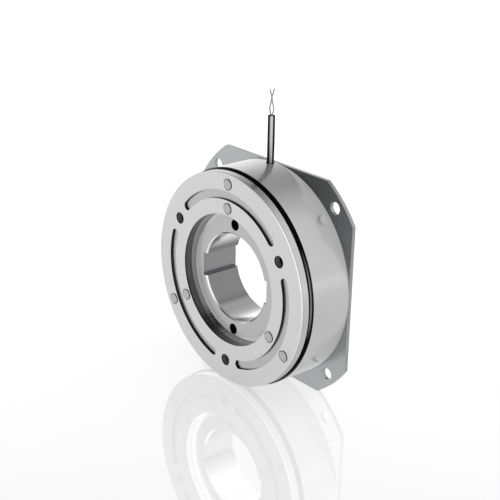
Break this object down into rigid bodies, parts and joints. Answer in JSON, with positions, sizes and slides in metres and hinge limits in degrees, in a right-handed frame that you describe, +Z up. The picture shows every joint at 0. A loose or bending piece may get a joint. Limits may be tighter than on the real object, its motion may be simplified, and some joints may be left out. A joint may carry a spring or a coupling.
{
  "type": "flange-mounted electromagnetic clutch",
  "caption": "Flange-mounted electromagnetic clutch with a fixed coil body, a keyed rotor, and an armature on a slotted diaphragm spring that the coil pulls onto the rotor.",
  "frame": {"origin": "on the shaft axis, in the flange plate's rear mounting face", "axes": "+Y along the shaft axis towards the flange and the machine that carries it, +Z up through the cable outlet, +X to the right seen from the armature side"},
  "size_m": [0.2, 0.0572, 0.2672],
  "materials": {
    "body_steel": "finely turned and polished",
    "plate_steel": "satin, zinc plated",
    "screw_steel": "black oxide",
    "bobbin_plastic": "matte",
    "winding_wire": "enamelled copper wire",
    "potting_resin": "gloss cast resin",
    "bush_rubber": "matte",
    "cable_sheath": "gloss",
    "core_insulation": "gloss",
    "hub_steel": "fine turned",
    "rotor_steel": "fine turned",
    "barrier_bronze": "turned",
    "friction_lining": "matte",
    "spring_steel": "satin",
    "armature_steel": "ground",
    "rivet_steel": "satin"
  },
  "bodies": {
    "stator": {"flange_plate": "plate_steel", "magnet_body": "body_steel", "flange_screws": "screw_steel", "coil_bobbin": "bobbin_plastic", "coil_winding": "winding_wire", "coil_potting": "potting_resin", "coil_leads": "winding_wire", "cable_bush": "bush_rubber", "cable_jacket": "cable_sheath", "cable_core_a": "core_insulation", "cable_core_b": "core_insulation"},
    "rotor": {"rotor_hub": "hub_steel", "rotor_inner_pole": "rotor_steel", "rotor_outer_pole": "rotor_steel", "flux_barrier_ring": "barrier_bronze", "friction_lining": "friction_lining"},
    "driven": {"diaphragm_spring": "spring_steel", "web_sleeves": "rivet_steel"},
    "armature": {"armature_disc": "armature_steel", "outer_rivets": "rivet_steel", "inner_rivets": "rivet_steel"}
  },
  "joints": [
    {"name": "rotor_spin", "type": "hinge", "parent": "stator", "child": "rotor", "pos_m": [0, 0, 0], "axis": [0, 1, 0], "continuous": true},
    {"name": "armature_spin", "type": "hinge", "parent": "stator", "child": "driven", "pos_m": [0, 0, 0], "axis": [0, 1, 0], "continuous": true},
    {"name": "armature_pull", "type": "slide", "parent": "driven", "child": "armature", "axis": [0, 1, 0], "range_m": [0, 0.0004], "stiffness_N_per_m": 20000, "deforming": ["diaphragm_spring"]}
  ]
}
